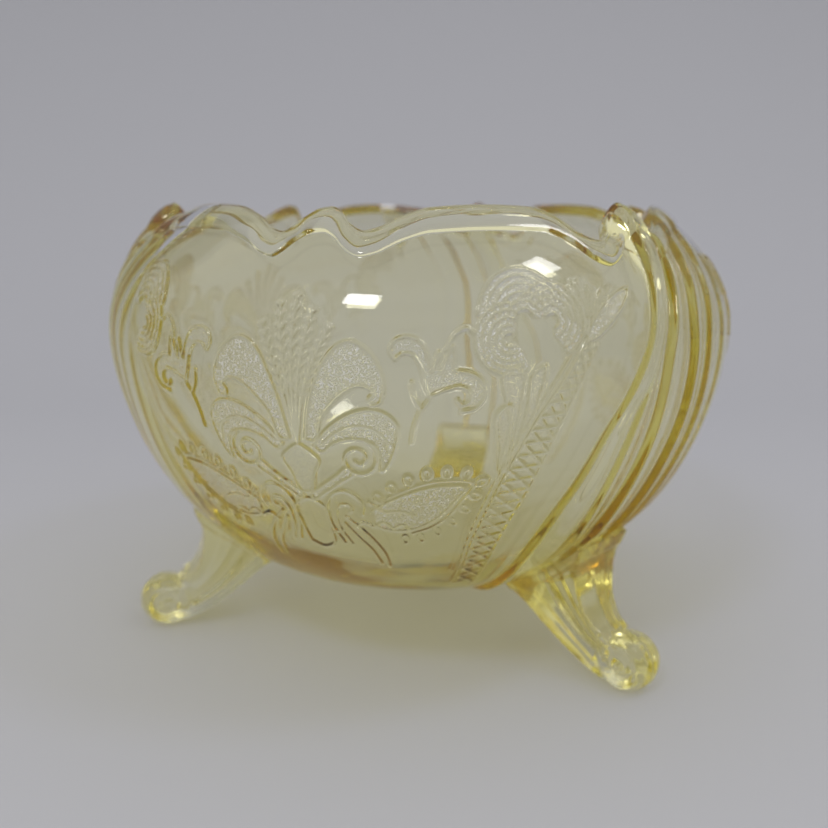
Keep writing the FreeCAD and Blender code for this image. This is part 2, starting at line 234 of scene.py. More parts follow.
def wall_heights(rows):
    """Heights of the rows along the wall, closest together where the ornament is."""
    start = math.asin((BASE_DISC_RADIUS / BELLY_RADIUS) ** (BODY_POWERS[0] / 2.0))
    turn = np.linspace(start, math.pi / 2.0, 800)[:-1]
    depth = np.cos(turn) ** (2.0 / BODY_POWERS[1])
    fine = np.concatenate([BELLY_Z - (BELLY_Z - BASE_Z) * depth, np.linspace(BELLY_Z, HEIGHT, 400)])
    radius = body_radius(fine)
    weight = np.interp((fine[1:] + fine[:-1]) / 2.0, ROW_CLOSENESS[0], ROW_CLOSENESS[1])
    length = np.concatenate([[0.0], np.cumsum(np.hypot(np.diff(fine), np.diff(radius)) * weight)])
    return np.interp(np.linspace(0.0, length[-1], rows), length, fine)


def zone_angle(zone, fraction, z):
    """Angle of a column at height z.  zone 0 is the panel, 1 and up are the pleats."""
    lines = (PANEL_LEFT, PANEL_RIGHT) + PLEAT_LINES
    start = line_angle(lines[zone], z)
    if zone == PLEAT_COUNT:
        end = line_angle(PANEL_LEFT, z) + THIRD
    else:
        end = line_angle(lines[zone + 1], z)
    return start + (end - start) * fraction


def column_angle(zone, part, z):
    """Angle at which a column stands; a pleat's first STEP_PART is its narrow steep face."""
    if zone == 0:
        return zone_angle(0, part, z)
    arc = np.radians(zone_angle(zone, 1.0, z) - zone_angle(zone, 0.0, z)) * body_radius(z)
    step = STEP_WIDTHS[zone - 1] / arc
    if part < STEP_PART:
        return zone_angle(zone, part / STEP_PART * step, z)
    return zone_angle(zone, step + (part - STEP_PART) / (1.0 - STEP_PART) * (1.0 - step), z)


def pleat_profile(zone, part, z):
    """Height across one pleat: a steep face up to the crest, then a long fall."""
    low, high = VALLEYS[zone - 1], CRESTS[zone - 1]
    end = VALLEYS[zone] if zone < PLEAT_COUNT else PANEL_LEVEL
    merged = smoothstep(*BRANCH_FADE, z)
    if zone == 1:
        high = high + (CUP_CREST - high) * smoothstep(*CUP_FADE, z)
        end = end + (BRANCH_MIDDLE - end) * merged
    if zone == 2:
        low = low + (BRANCH_MIDDLE - low) * merged
        high = high + (BRANCH_MIDDLE - high) * merged
    if part < STEP_PART:
        return low + (high - low) * smoothstep(-0.12, 1.12, part / STEP_PART)
    return high + (end - high) * smoothstep(-0.1, 1.05, (part - STEP_PART) / (1.0 - STEP_PART))


def finger(angle, z):
    """Rounded finger that runs down from the lip along the panel's right-hand border."""
    off = angle - line_angle(PANEL_RIGHT, z) - FINGER_OFFSET
    return FINGER_HEIGHT * np.exp(-(off / FINGER_HALF_ANGLE) ** 2) * smoothstep(*FINGER_FADE, z)


def bead(depth):
    """Rounded band along the lip; depth is measured down from the lip."""
    across = np.clip(2.0 * depth / BEAD_WIDTH - 1.0, -1.0, 1.0)
    return BEAD_DEPTH * np.sqrt(1.0 - across ** 2)


def relief(zone, part, z, lip_z):
    """How far the outer face stands proud of the plain body."""
    panel = PANEL_LEVEL * smoothstep(*PANEL_FADE, z)
    extra = finger(column_angle(zone, part, z), z) + bead(lip_z - z)
    if zone == 0:
        return panel + extra
    share = smoothstep(*(RIDGE_FADE if zone == 1 else PLEAT_FADE), z)
    if zone > 2:
        share = share * (LIP_SHARE + (1.0 - LIP_SHARE) * smoothstep(0.0, LIP_FADE, lip_z - z))
    return panel + (pleat_profile(zone, part, z) - panel) * share + extra


# ---- the pressed ornament -----------------------------------------------------------
# Drawn flat on each panel: across is millimetres of arc from the pattern's middle
# line, up is the height.  Outlines are raised lines; leaves are filled with stipple.
# Most shapes are drawn on both sides of the middle line.
PATTERN_ANGLE = -2.0
ARC_PER_DEGREE = 1.71
CELL = 0.15
ACROSS = (-74.0, 112.0)
UP = (14.0, 138.0)
LINE_WIDTH = 0.40
LINE_HEIGHT = 0.5
FINE_WIDTH = 0.34
FINE_HEIGHT = 0.42
STIPPLE_HEIGHT = 0.26
STIPPLE_GRAINS = ((0.75, 0.6), (0.45, 0.4))    # size and share of each
SEED = 7

FROND_TIPS = ((0.2, 116.5), (4.8, 113.4), (9.2, 109.6), (-4.2, 114.6), (-8.4, 109.8))
FROND_FOOT = (0.0, 80.0)
FROND_STEPS = 27
FROND_BEND = 0.16            # sideways bend as a part of the tip's offset
BARB_STEPS = (11, 26, 2)     # steps of the stem that carry a pair of barbs
BARB_LENGTH = 1.9
BARB_MIDDLE, BARB_REACH = 17, 14.0
BARB_SPREAD = (0.62, 0.9)    # parts of a barb beside and along the stem

SIDE_LEAF = ((2.2, 82.0), (3.9, 91.0), (6.5, 98.6), (9.0, 103.0), (12.0, 105.6), (14.6, 106.2),
             (17.2, 105.0), (19.8, 102.6), (21.4, 99.4), (22.2, 95.6), (20.6, 91.6), (19.0, 91.4),
             (18.8, 93.0), (19.8, 94.2), (18.4, 95.6), (15.9, 96.0), (13.2, 94.8), (10.2, 92.2),
             (7.0, 88.4), (3.8, 81.6))
ARCH_LEAF = ((4.2, 80.3), (8.0, 84.8), (12.0, 87.9), (15.8, 89.7), (19.4, 90.2), (23.0, 88.9),
             (25.2, 86.2), (25.0, 82.4), (24.0, 79.0), (22.6, 76.0), (21.2, 74.4), (21.0, 78.0),
             (19.8, 81.0), (17.6, 82.4), (14.4, 82.8), (9.8, 81.6), (5.6, 79.0))
ARCH_VEIN = ((6.2, 81.0), (10.3, 84.2), (14.8, 86.0), (19.0, 85.6), (22.4, 82.6), (22.9, 79.0))
VOLUTE_CENTRE = (15.2, 77.4)
VOLUTE_TURN = (62.0, -498.0)
VOLUTE_RADII = (5.2, 0.9)
STEM = ((1.2, 66.6), (5.0, 69.4), (9.2, 72.4), (12.6, 74.8), (13.4, 73.6), (10.0, 70.8),
        (5.6, 67.6), (1.6, 65.4))
BUD = ((0.0, 80.6), (2.8, 78.8), (4.9, 76.5), (3.4, 72.8), (1.2, 67.4), (-1.2, 67.4),
       (-3.4, 72.8), (-4.9, 76.5), (-2.8, 78.8))
LOW_BUD = ((-3.8, 50.6), (-4.4, 57.0), (-4.4, 62.6), (-2.6, 64.2), (0.0, 65.2), (2.6, 64.2),
           (4.4, 62.6), (4.4, 57.0), (3.8, 50.6), (0.0, 48.9))
PETAL = ((7.4, 51.0), (5.0, 58.0), (5.2, 64.0), (7.4, 67.2), (10.4, 68.2), (13.4, 66.8),
         (15.2, 64.0), (14.6, 61.2))
PETAL_CURL = ((9.8, 50.8), (7.2, 57.4), (7.4, 61.8), (9.2, 64.0), (11.2, 64.0), (12.0, 62.4),
              (10.8, 61.6))
SWEEP = ((9.8, 60.2), (13.7, 56.5), (17.3, 52.0), (19.8, 47.0), (20.4, 42.6))
SWEEP_INNER = ((9.0, 58.2), (12.3, 53.5), (15.9, 48.6), (17.8, 43.6))
WING = ((17.4, 62.4), (21.0, 64.8), (25.6, 67.2), (31.0, 69.2), (36.8, 70.3), (42.4, 69.6),
        (40.0, 66.0), (37.4, 62.6), (33.0, 59.0), (28.0, 56.8), (22.0, 56.6), (18.0, 58.2))
WING_RIM = ((22.0, 66.6), (26.2, 68.8), (31.2, 70.8), (37.0, 71.8), (44.6, 70.6), (41.6, 65.6),
            (38.8, 61.4), (34.0, 57.6), (28.4, 55.4))
# (across, up, lean in degrees) of the loops round the wing
WING_BEADS = ((19.6, 66.6, 120), (23.4, 69.6, 112), (27.8, 71.9, 108), (32.4, 73.5, 98),
              (37.4, 74.0, 90), (42.4, 73.6, 70), (46.4, 71.2, 25), (45.2, 67.2, -20),
              (42.8, 63.4, -30), (39.6, 59.4, -40), (35.6, 56.2, -55), (31.0, 54.0, -68),
              (26.4, 53.4, -85))
BEAD_LOOP = (1.45, 0.95)     # half length and half width of a loop
SCROLL_WAVES = (((12.2, 57.0), (14.6, 58.6), (17.6, 57.4)), ((17.6, 57.4), (20.2, 59.0), (23.2, 57.2)),
                ((23.2, 57.2), (25.6, 58.4), (28.2, 56.8)), ((16.8, 65.4), (18.8, 63.6), (21.2, 62.2)),
                ((21.2, 62.2), (25.0, 62.8), (29.6, 61.4)))

FLORET_LINES = (
    ((28.7, 82.0), (29.4, 86.4), (31.0, 90.4), (33.0, 93.2)),
    ((33.0, 93.2), (31.6, 97.0), (30.6, 101.0), (28.8, 103.4), (26.4, 103.6), (24.8, 102.2)),
    ((24.8, 102.2), (23.6, 104.2), (24.8, 106.6), (27.6, 107.4), (30.6, 106.4), (32.2, 103.4), (33.2, 99.4)),
    ((33.4, 99.4), (35.0, 104.0), (35.4, 99.0)),
    ((35.4, 99.0), (38.2, 105.4), (38.6, 99.6)),
    ((36.6, 104.4), (38.6, 107.8), (41.4, 109.2), (43.4, 108.0)),
    ((33.4, 94.0), (37.0, 95.4), (40.0, 96.0), (42.2, 94.6), (42.2, 92.6), (40.6, 91.6), (39.4, 92.6)),
    ((38.6, 99.6), (42.4, 99.0), (45.2, 96.8), (45.6, 93.4), (43.4, 90.6), (40.6, 90.0)),
    ((31.0, 90.4), (29.2, 93.6), (28.8, 97.0)),
)
FLORET_FILL = ((33.0, 93.4), (31.8, 97.4), (31.0, 101.4), (29.0, 104.2), (26.4, 104.4), (24.4, 103.6),
               (25.2, 106.2), (28.0, 107.0), (31.4, 105.0), (33.4, 100.4), (38.4, 103.6), (39.0, 99.6),
               (43.0, 98.4), (45.0, 95.4), (44.6, 92.4), (42.6, 91.0), (42.8, 94.8), (40.2, 96.6),
               (36.0, 95.8))

# (across, up, radii of the ribs, first angle, last angle) of each fan
SHELL_EYES = ((51.4, 106.4, (1.6, 3.2, 4.9, 6.6, 8.0), 75, 300),
              (55.6, 110.6, (2.6, 4.4, 6.2, 8.0, 9.8, 11.4), 25, 172),
              (62.6, 110.4, (1.8, 3.5, 5.2, 6.9, 8.4), -65, 140))
SHELL_POINTS = 10
BLADES = (((50.4, 71.0), (49.4, 80.0), (49.6, 90.0), (51.4, 91.2), (52.0, 84.0), (50.8, 76.0)),
          ((52.2, 74.0), (52.2, 86.0), (50.8, 93.0), (50.2, 98.4), (52.4, 100.0), (54.8, 98.0),
           (54.6, 92.0), (53.8, 84.0)),
          ((54.4, 80.0), (56.4, 90.0), (58.0, 99.0), (59.6, 100.0), (58.6, 91.0)))
BAND_LEFT = ((44.6, 34.0), (45.6, 42.0), (46.6, 52.5), (48.9, 61.5), (51.0, 68.5), (54.2, 76.5),
             (58.6, 86.0), (64.6, 95.5), (72.0, 106.4))
BAND_RIGHT = ((52.6, 34.0), (53.8, 43.0), (55.6, 55.0), (59.0, 65.5), (62.4, 75.6), (65.8, 86.0),
              (69.8, 95.5), (74.4, 104.0))
BAND_STEPS = 21
BAND_EDGE = (-1.5, 0.8)      # offset of the second line along the band's left side
SPEAR = ((71.0, 105.0), (73.2, 109.0), (77.2, 112.6), (82.0, 115.4), (87.0, 116.6), (83.4, 112.6),
         (79.0, 109.2), (75.0, 106.4))
GRASS_TIPS = ((66.6, 113.0), (68.4, 116.6), (71.0, 118.4), (75.0, 116.8), (78.4, 115.6))
GRASS_FOOT = (71.4, 106.0)


# ---- drawing the ornament -----------------------------------------------------------
class Canvas:
    """Height and frost of one panel's ornament on a flat grid."""

    def __init__(self):
        self.nu = int((ACROSS[1] - ACROSS[0]) / CELL)
        self.nv = int((UP[1] - UP[0]) / CELL)
        self.height = np.zeros((self.nu, self.nv))
        self.frost = np.zeros((self.nu, self.nv))
        rng = np.random.default_rng(SEED)
        self.grain = sum(self.noise(rng, size) * share for size, share in STIPPLE_GRAINS)

    def noise(self, rng, size):
        """Smooth random field from 0 to 1 with features about size across."""
        cells = rng.random((int((ACROSS[1] - ACROSS[0]) / size) + 2, int((UP[1] - UP[0]) / size) + 2))
        u = np.arange(self.nu) * CELL / size
        v = np.arange(self.nv) * CELL / size
        return bilinear(cells, *np.meshgrid(u, v, indexing="ij"))

    def window(self, low, high, margin):
        """Slices of the grid around a box, and the places of the cells in them."""
        origin = np.array([ACROSS[0], UP[0]])
        first = np.maximum(((low - margin - origin) / CELL).astype(int), 0)
        last = np.minimum(((high + margin - origin) / CELL).astype(int) + 2, (self.nu, self.nv))
        u = ACROSS[0] + np.arange(first[0], last[0]) * CELL
        v = UP[0] + np.arange(first[1], last[1]) * CELL
        return (slice(first[0], last[0]), slice(first[1], last[1])), np.meshgrid(u, v, indexing="ij")

    def line(self, points, width=LINE_WIDTH, height=LINE_HEIGHT, smooth=True):
        """Raise a line, and polish away the frost under it."""
        p = spline(points, 8 * len(points)) if smooth else np.array(points, float)
        for a, b in zip(p[:-1], p[1:]):
            where, (u, v) = self.window(np.minimum(a, b), np.maximum(a, b), 3.0 * width)
            if u.size == 0:
                continue
            span = b - a
            t = ((u - a[0]) * span[0] + (v - a[1]) * span[1]) / max(span @ span, 1e-9)
            t = np.clip(t, 0.0, 1.0)
            off = np.hypot(u - a[0] - t * span[0], v - a[1] - t * span[1])
            ridge = height * np.exp(-(off / width) ** 2)
            self.height[where] = np.maximum(self.height[where], ridge)
            self.frost[where] *= 1.0 - ridge / height

    def fill(self, outline, frost=1.0, lift=0.06):
        """Raise and stipple the inside of an outline."""
        p = spline(closed(outline), 6 * len(outline))
        where, (u, v) = self.window(p.min(0), p.max(0), 0.3)
        inside = np.zeros(u.shape, bool)
        for a, b in zip(p[:-1], p[1:]):
            crosses = (a[1] > v) != (b[1] > v)
            edge = a[0] + (v - a[1]) / ((b[1] - a[1]) or 1e-9) * (b[0] - a[0])
            inside ^= crosses & (u < edge)
        self.frost[where] = np.where(inside, np.maximum(self.frost[where], frost), self.frost[where])
        stipple = lift + STIPPLE_HEIGHT * frost * self.grain[where]
        self.height[where] = np.where(inside, np.maximum(self.height[where], stipple), self.height[where])

    def leaf(self, outline, frost=1.0):
        self.fill(outline, frost)
        self.line(closed(outline))

    def sample(self, across, up):
        """Height and frost at places on the panel."""
        u = (across - ACROSS[0]) / CELL
        v = (up - UP[0]) / CELL
        return bilinear(self.height, u, v), bilinear(self.frost, u, v)


def bilinear(grid, u, v):
    """Value of a grid at places given in cells."""
    u = np.clip(u, 0.0, grid.shape[0] - 1.001)
    v = np.clip(v, 0.0, grid.shape[1] - 1.001)
    i, j = u.astype(int), v.astype(int)
    s, t = u - i, v - j
    return ((1 - s) * (1 - t) * grid[i, j] + s * (1 - t) * grid[i + 1, j]
            + (1 - s) * t * grid[i, j + 1] + s * t * grid[i + 1, j + 1])


def closed(outline):
    return tuple(outline) + (outline[0],)


def mirrored(points, side):
    return tuple((side * p[0],) + tuple(p[1:]) for p in points)


def draw_frond(canvas, foot, tip):
    """A feather: a stem with short barbs on its upper two thirds."""
    foot, tip = np.array(foot), np.array(tip)
    bend = foot + (tip - foot) * 0.5 + np.array([-(tip[0] - foot[0]) * FROND_BEND, 0.0])
    stem = spline((foot, bend, tip), FROND_STEPS)
    canvas.line(stem, FINE_WIDTH, FINE_HEIGHT, smooth=False)
    for k in range(*BARB_STEPS):
        along = stem[k + 1] - stem[k]
        along = along / np.hypot(*along)
        beside = np.array([along[1], -along[0]])
        length = BARB_LENGTH * (1.0 - ((k - BARB_MIDDLE) / BARB_REACH) ** 2)
        for turn in (-1.0, 1.0):
            end = stem[k] + length * (BARB_SPREAD[0] * turn * beside + BARB_SPREAD[1] * along)
            canvas.line((stem[k], end), FINE_WIDTH, FINE_HEIGHT, smooth=False)


def arc(centre, radius, first, last, count=24):
    """Points along an arc between two angles in degrees."""
    turn = np.radians(np.linspace(first, last, count))
    return np.stack([centre[0] + radius * np.cos(turn), centre[1] + radius * np.sin(turn)], -1)


def draw_volute(canvas, side):
    """Spiral that ends the arched leaf."""
    turn = np.radians(np.linspace(*VOLUTE_TURN, 60))
    radius = np.linspace(*VOLUTE_RADII, 60)
    u = VOLUTE_CENTRE[0] + radius * np.cos(turn)
    v = VOLUTE_CENTRE[1] + radius * np.sin(turn)
    canvas.line(np.stack([side * u, v], -1), smooth=False)


def draw_bead(canvas, across, up, lean, side):
    """A small loop standing outward from a leaf's edge."""
    a = math.radians(lean)
    turn = np.linspace(0.0, 2.0 * math.pi, 14)
    long, short = BEAD_LOOP[0] * np.cos(turn), BEAD_LOOP[1] * np.sin(turn)
    u = across + long * math.cos(a) - short * math.sin(a)
    v = up + long * math.sin(a) + short * math.cos(a)
    canvas.line(np.stack([side * u, v], -1), FINE_WIDTH, FINE_HEIGHT, smooth=False)


def draw_shell(canvas, side):
    """Three fans of concentric ribs over a stippled ground."""
    for across, up, radii, first, last in SHELL_EYES:
        outer = arc((across, up), radii[-1], first, last, SHELL_POINTS)
        inner = arc((across, up), radii[0], last, first, SHELL_POINTS)
        canvas.fill([tuple(p) for p in mirrored(np.concatenate([outer, inner]), side)], 1.0)
    for across, up, radii, first, last in SHELL_EYES:
        for radius in radii:
            rib = mirrored(arc((across, up), radius, first, last), side)
            canvas.line(rib, FINE_WIDTH, LINE_HEIGHT, smooth=False)


def draw_band(canvas):
    """Lattice band along the panel's border, with a spear and grass at its head."""
    left, right = spline(BAND_LEFT, BAND_STEPS + 1), spline(BAND_RIGHT, BAND_STEPS + 1)
    canvas.line(BAND_LEFT)
    canvas.line([(u + BAND_EDGE[0], v + BAND_EDGE[1]) for u, v in BAND_LEFT], FINE_WIDTH, FINE_HEIGHT)
    canvas.line(BAND_RIGHT, FINE_WIDTH, FINE_HEIGHT)
    for k in range(BAND_STEPS):
        canvas.line((left[k], right[k + 1]), FINE_WIDTH, FINE_HEIGHT, smooth=False)
        canvas.line((left[k + 1], right[k]), FINE_WIDTH, FINE_HEIGHT, smooth=False)
    canvas.leaf(SPEAR)
    for tip in GRASS_TIPS:
        draw_frond(canvas, GRASS_FOOT, tip)
    for blade in BLADES:
        canvas.leaf(blade, 0.35)


def draw_ornament():
    """The whole ornament of one panel: mirrored pairs, then what stands alone."""
    canvas = Canvas()
    for side in (1.0, -1.0):
        canvas.leaf(mirrored(SIDE_LEAF, side))
        canvas.leaf(mirrored(ARCH_LEAF, side), 0.8)
        canvas.line(mirrored(ARCH_VEIN, side), FINE_WIDTH, FINE_HEIGHT)
        draw_volute(canvas, side)
        canvas.leaf(mirrored(STEM, side), 0.7)
        canvas.line(mirrored(PETAL, side))
        canvas.line(mirrored(PETAL_CURL, side), FINE_WIDTH, FINE_HEIGHT)
        canvas.line(mirrored(SWEEP, side))
        canvas.line(mirrored(SWEEP_INNER, side), FINE_WIDTH, FINE_HEIGHT)
        canvas.leaf(mirrored(WING, side), 0.8)
        canvas.line(mirrored(WING_RIM, side), FINE_WIDTH, FINE_HEIGHT)
        for across, up, lean in WING_BEADS:
            draw_bead(canvas, across, up, lean, side)
        for wave in SCROLL_WAVES:
            canvas.line(mirrored(wave, side))
        canvas.fill(mirrored(FLORET_FILL, side), 0.5)
        for stroke in FLORET_LINES:
            canvas.line(mirrored(stroke, side))
        draw_shell(canvas, side)
    for tip in FROND_TIPS:
        draw_frond(canvas, FROND_FOOT, tip)
    canvas.fill(BUD, 0.3, 0.2)
    canvas.line(closed(BUD))
    canvas.line(closed(LOW_BUD))
    draw_band(canvas)
    return canvas


# ---- the bowl -----------------------------------------------------------------------
PANEL_COLUMNS = 480
STEP_COLUMNS = 6
FALL_COLUMNS = 11
OUTER_ROWS = 430
INNER_ROWS = 72
LIP_ROWS = 20
LIP_SQUARENESS = 0.6   # below 1 the lip's corners are squarer than a half circle
LIP_CROWN = 0.6
EDGE_SHARE = 0.03      # part of the panel over which the ornament fades at its sides
ORNAMENT_STRENGTH = ((46.0, 0.5), (70.0, 1.0), (94.0, 1.35))    # by height on the bowl


def third_columns():
    """(zone, part) of every column of one third of the bowl."""
    columns = [(0, i / PANEL_COLUMNS) for i in range(PANEL_COLUMNS)]
    for zone in range(1, PLEAT_COUNT + 1):
        columns += [(zone, STEP_PART * i / STEP_COLUMNS) for i in range(STEP_COLUMNS)]
        columns += [(zone, STEP_PART + (1.0 - STEP_PART) * i / FALL_COLUMNS) for i in range(FALL_COLUMNS)]
    return columns


def wall_points(zone, part, rows, canvas=None):
    """(radius, height, angle, frost) of the outer and the inner face of one column."""
    drop = float(scallop_drop(column_angle(zone, part, np.array([HEIGHT]))[0]))
    z = wall_heights(rows)
    z = z - drop * smoothstep(HEIGHT - SCALLOP_REACH, HEIGHT, z)
    angle = column_angle(zone, part, z)
    out_r, out_z = wall_normal(z)
    proud = relief(zone, part, z, HEIGHT - drop)
    frost = np.zeros_like(z)
    if canvas is not None and zone == 0:
        drawn, frost = canvas.sample((angle - PATTERN_ANGLE) * ARC_PER_DEGREE, z)
        keep = float(smoothstep(0.0, EDGE_SHARE, part) * smoothstep(1.0, 1.0 - EDGE_SHARE, part))
        proud = proud + drawn * keep * hermite(ORNAMENT_STRENGTH, z)
        frost = frost * keep
    outer = np.stack([body_radius(z) + proud * out_r, z + proud * out_z, angle, frost], -1)
    wall = WALL + FLOOR_EXTRA * (1.0 - smoothstep(*FLOOR_FADE, z))
    inner = np.stack([body_radius(z) - wall * out_r, z - wall * out_z, angle, 0.0 * frost], -1)
    return outer, inner


def lip_arc(outside, inside):
    """Crowned end face of the wall with rounded corners, from the outer to the inner face."""
    middle = (outside + inside) / 2.0
    arm = (outside - inside) / 2.0
    turn = np.linspace(0.0, math.pi, LIP_ROWS + 1)[1:-1]
    over = np.sign(np.cos(turn)) * np.abs(np.cos(turn)) ** LIP_SQUARENESS
    rise = LIP_CROWN * np.sin(turn) ** LIP_SQUARENESS
    radius = middle[0] + arm[0] * over - arm[1] * rise
    height = middle[1] + arm[1] * over + arm[0] * rise
    return np.stack([radius, height, np.full_like(radius, outside[2]), np.zeros_like(radius)], -1)


def bowl_mesh():
    """Whole bowl as one closed skin: outer face, lip and inner face of three equal thirds."""
    canvas = draw_ornament()
    columns = []
    for zone, fraction in third_columns():
        outer, _ = wall_points(zone, fraction, OUTER_ROWS, canvas)
        _, inner = wall_points(zone, fraction, INNER_ROWS)
        columns.append(np.concatenate([outer, lip_arc(outer[-1], inner[-1]), inner[::-1]]))
    third = np.array(columns)
    whole = np.concatenate([third + [0.0, 0.0, THIRD * k, 0.0] for k in range(THIRDS)])
    a = np.radians(whole[..., 2])
    points = np.stack([whole[..., 0] * np.sin(a), -whole[..., 0] * np.cos(a), whole[..., 1]], -1)
    return grid_mesh("bowl_glass_body", points, whole[..., 3])


def grid_mesh(name, points, frost):
    """Closed mesh over a grid whose columns wrap round, capped by a point at each end."""
    across, along = points.shape[:2]
    i, j = np.meshgrid(np.arange(across), np.arange(along - 1), indexing="ij")
    a = i * along + j
    b = ((i + 1) % across) * along + j
    quads = np.stack([a, b, b + 1, a + 1], -1).reshape(-1, 4)
    ends = np.array([points[:, 0].mean(0), points[:, -1].mean(0)])
    count = across * along
    verts = np.concatenate([points.reshape(-1, 3), ends]) * MM
    ring = np.arange(across) * along
    nxt = np.roll(ring, -1)
    low = np.stack([np.full(across, count), nxt, ring], -1)
    high = np.stack([np.full(across, count + 1), ring + along - 1, nxt + along - 1], -1)
    corners = np.concatenate([quads.ravel(), low.ravel(), high.ravel()])
    sizes = np.concatenate([np.full(len(quads), 4), np.full(2 * across, 3)])
    mesh = bpy.data.meshes.new(name)
    mesh.vertices.add(len(verts))
    mesh.vertices.foreach_set("co", verts.ravel())
    mesh.loops.add(len(corners))
    mesh.loops.foreach_set("vertex_index", corners)
    mesh.polygons.add(len(sizes))
    mesh.polygons.foreach_set("loop_start", np.concatenate([[0], np.cumsum(sizes)[:-1]]))
    mesh.update(calc_edges=True)
    mesh.validate()
    layer = mesh.attributes.new("frost", "FLOAT", "POINT")
    layer.data.foreach_set("value", np.concatenate([frost.ravel(), [0.0, 0.0]]))
    mesh.shade_smooth()
    obj = bpy.data.objects.new(name, mesh)
    bpy.context.scene.collection.objects.link(obj)
    return obj


# ---- feet ---------------------------------------------------------------------------
def foot_outline():
    """Closed side outline of the foot in (radius, height)."""
    inner = spline(FOOT_INNER, 60)
    outer = spline(FOOT_OUTER, 60)
    centre = np.array([ROLL_AXIS_RADIUS, ROLL_RADIUS])
    first = math.atan2(*(inner[-1] - centre)[::-1])
    last = math.atan2(*(outer[-1] - centre)[::-1])
    turn = np.linspace(first, last if last > first else last + 2.0 * math.pi, 90)
    roll = centre + ROLL_RADIUS * np.stack([np.cos(turn), np.sin(turn)], -1)
    root_r = np.linspace(FOOT_OUTER[0][0] - ROOT_INSET, FOOT_INNER[0][0], 30)
    share = 1.0 - (root_r / BELLY_RADIUS) ** BODY_POWERS[0]
    z = BELLY_Z - (BELLY_Z - BASE_Z) * share ** (1.0 / BODY_POWERS[1])
    out_r, out_z = wall_normal(z)
    root = np.stack([root_r - ROOT_DEPTH * out_r, z - ROOT_DEPTH * out_z], -1)
    return np.concatenate([inner, roll[1:-1], outer[::-1], root])


def prism(name, outline, half):
    """Closed solid between two copies of a side outline."""
    bm = bmesh.new()
    low = [bm.verts.new((r, -half, z)) for r, z in outline]
    face = bm.faces.new(low)
    made = bmesh.ops.extrude_face_region(bm, geom=[face])
    moved = [v for v in made["geom"] if isinstance(v, bmesh.types.BMVert)]
    bmesh.ops.translate(bm, verts=moved, vec=(0.0, 2.0 * half, 0.0))
    bmesh.ops.triangulate(bm, faces=bm.faces[:])
    bmesh.ops.recalc_face_normals(bm, faces=bm.faces[:])
    mesh = bpy.data.meshes.new(name)
    bm.to_mesh(mesh)
    bm.free()
    obj = bpy.data.objects.new(name, mesh)
    bpy.context.scene.collection.objects.link(obj)
    return obj


def apply_modifiers(obj):
    graph = bpy.context.evaluated_depsgraph_get()
    mesh = bpy.data.meshes.new_from_object(obj.evaluated_get(graph))
    obj.modifiers.clear()
    old = obj.data
    obj.data = mesh
    bpy.data.meshes.remove(old)


def nearest(points, curve):
    """Distance from each point to a curve given as a dense row of points."""
    best = np.full(len(points), 1e9)
    for spot in curve:
        best = np.minimum(best, np.hypot(points[:, 0] - spot[0], points[:, 1] - spot[1]))
    return best


def bump(x, centre, width):
    """Round hill of height 1."""
    return np.exp(-((x - centre) / width) ** 2)


def shank_face(r, side, z):
    """Rim, flutes and raised border on the flat sides of the shank."""
    here = np.stack([r, z], -1)
    inner = nearest(here, spline(FOOT_INNER, 120))
    outer = nearest(here, spline(FOOT_OUTER, 120))
    across = inner / (inner + outer)
    face = FOOT_RIM * bump(inner, 0.0, FOOT_RIM_WIDTH)
    for groove in FOOT_FLUTES:
        face = face - FLUTE_DEPTH * bump(across, groove, FLUTE_WIDTH) * (side > 0.0)
    border = np.where(side > 0.0, FLUTED_BORDER, PLAIN_BORDER)
    return face + BORDER_HEIGHT * smoothstep(-BORDER_EDGE, BORDER_EDGE, across - border)


def scroll_end(r, z, from_eye):
    """Coil and eye on the round ends of the scroll."""
    turn = np.arctan2(z - ROLL_RADIUS, r - ROLL_AXIS_RADIUS)
    coil = np.cos(2.0 * math.pi * from_eye / COIL_PITCH - turn)
    spiral = COIL_HEIGHT * (coil - COIL_LEVEL) * smoothstep(*COIL_START, from_eye)
    return spiral + EYE_HEIGHT * bump(from_eye, 0.0, EYE_WIDTH)


def foot_relief(r, side, z):
    """Growth at (radius, share of half width, height): sideways, in rings and as a collar."""
    from_eye = np.hypot(r - ROLL_AXIS_RADIUS, z - ROLL_RADIUS)
    from_edge = from_eye - ROLL_RADIUS
    on_shank = smoothstep(*SHANK_START, from_edge)
    on_scroll = 1.0 - smoothstep(*SCROLL_EDGE, from_edge)
    flat = smoothstep(*FLAT_SIDE, np.abs(side))
    sideways = flat * (shank_face(r, side, z) * on_shank + scroll_end(r, z, from_eye) * on_scroll)
    on_barrel = smoothstep(*BARREL_EDGE, from_edge) * (1.0 - on_shank)
    ring = -RING_DEPTH * sum(bump(side, k, RING_WIDTH) for k in ROLL_RINGS) * (1.0 - flat)
    collar = COLLAR_HEIGHT * (1.0 - smoothstep(*COLLAR_FADE, wall_gap(r, z)))
    return sideways, ring * on_barrel, collar


def free_roll(r, z):
    """1 on the scroll, 0 on the shank that runs into it from the bowl's side."""
    from_eye = np.hypot(r - ROLL_AXIS_RADIUS, z - ROLL_RADIUS)
    towards = (ROLL_AXIS_RADIUS - r) / np.maximum(from_eye, 0.01)
    inside = 1.0 - smoothstep(*FREE_ROLL_EDGE, from_eye - ROLL_RADIUS)
    centre = 1.0 - smoothstep(*FREE_ROLL_CENTRE, from_eye)
    return inside * np.maximum(1.0 - smoothstep(*FREE_ROLL_SIDE, towards), centre)


def wall_gap(r, z):
    """Distance from the bowl's plain wall."""
    heights = np.linspace(BASE_Z + 0.5, 60.0, 240)
    return nearest(np.stack([r, z], -1), np.stack([body_radius(heights), heights], -1))


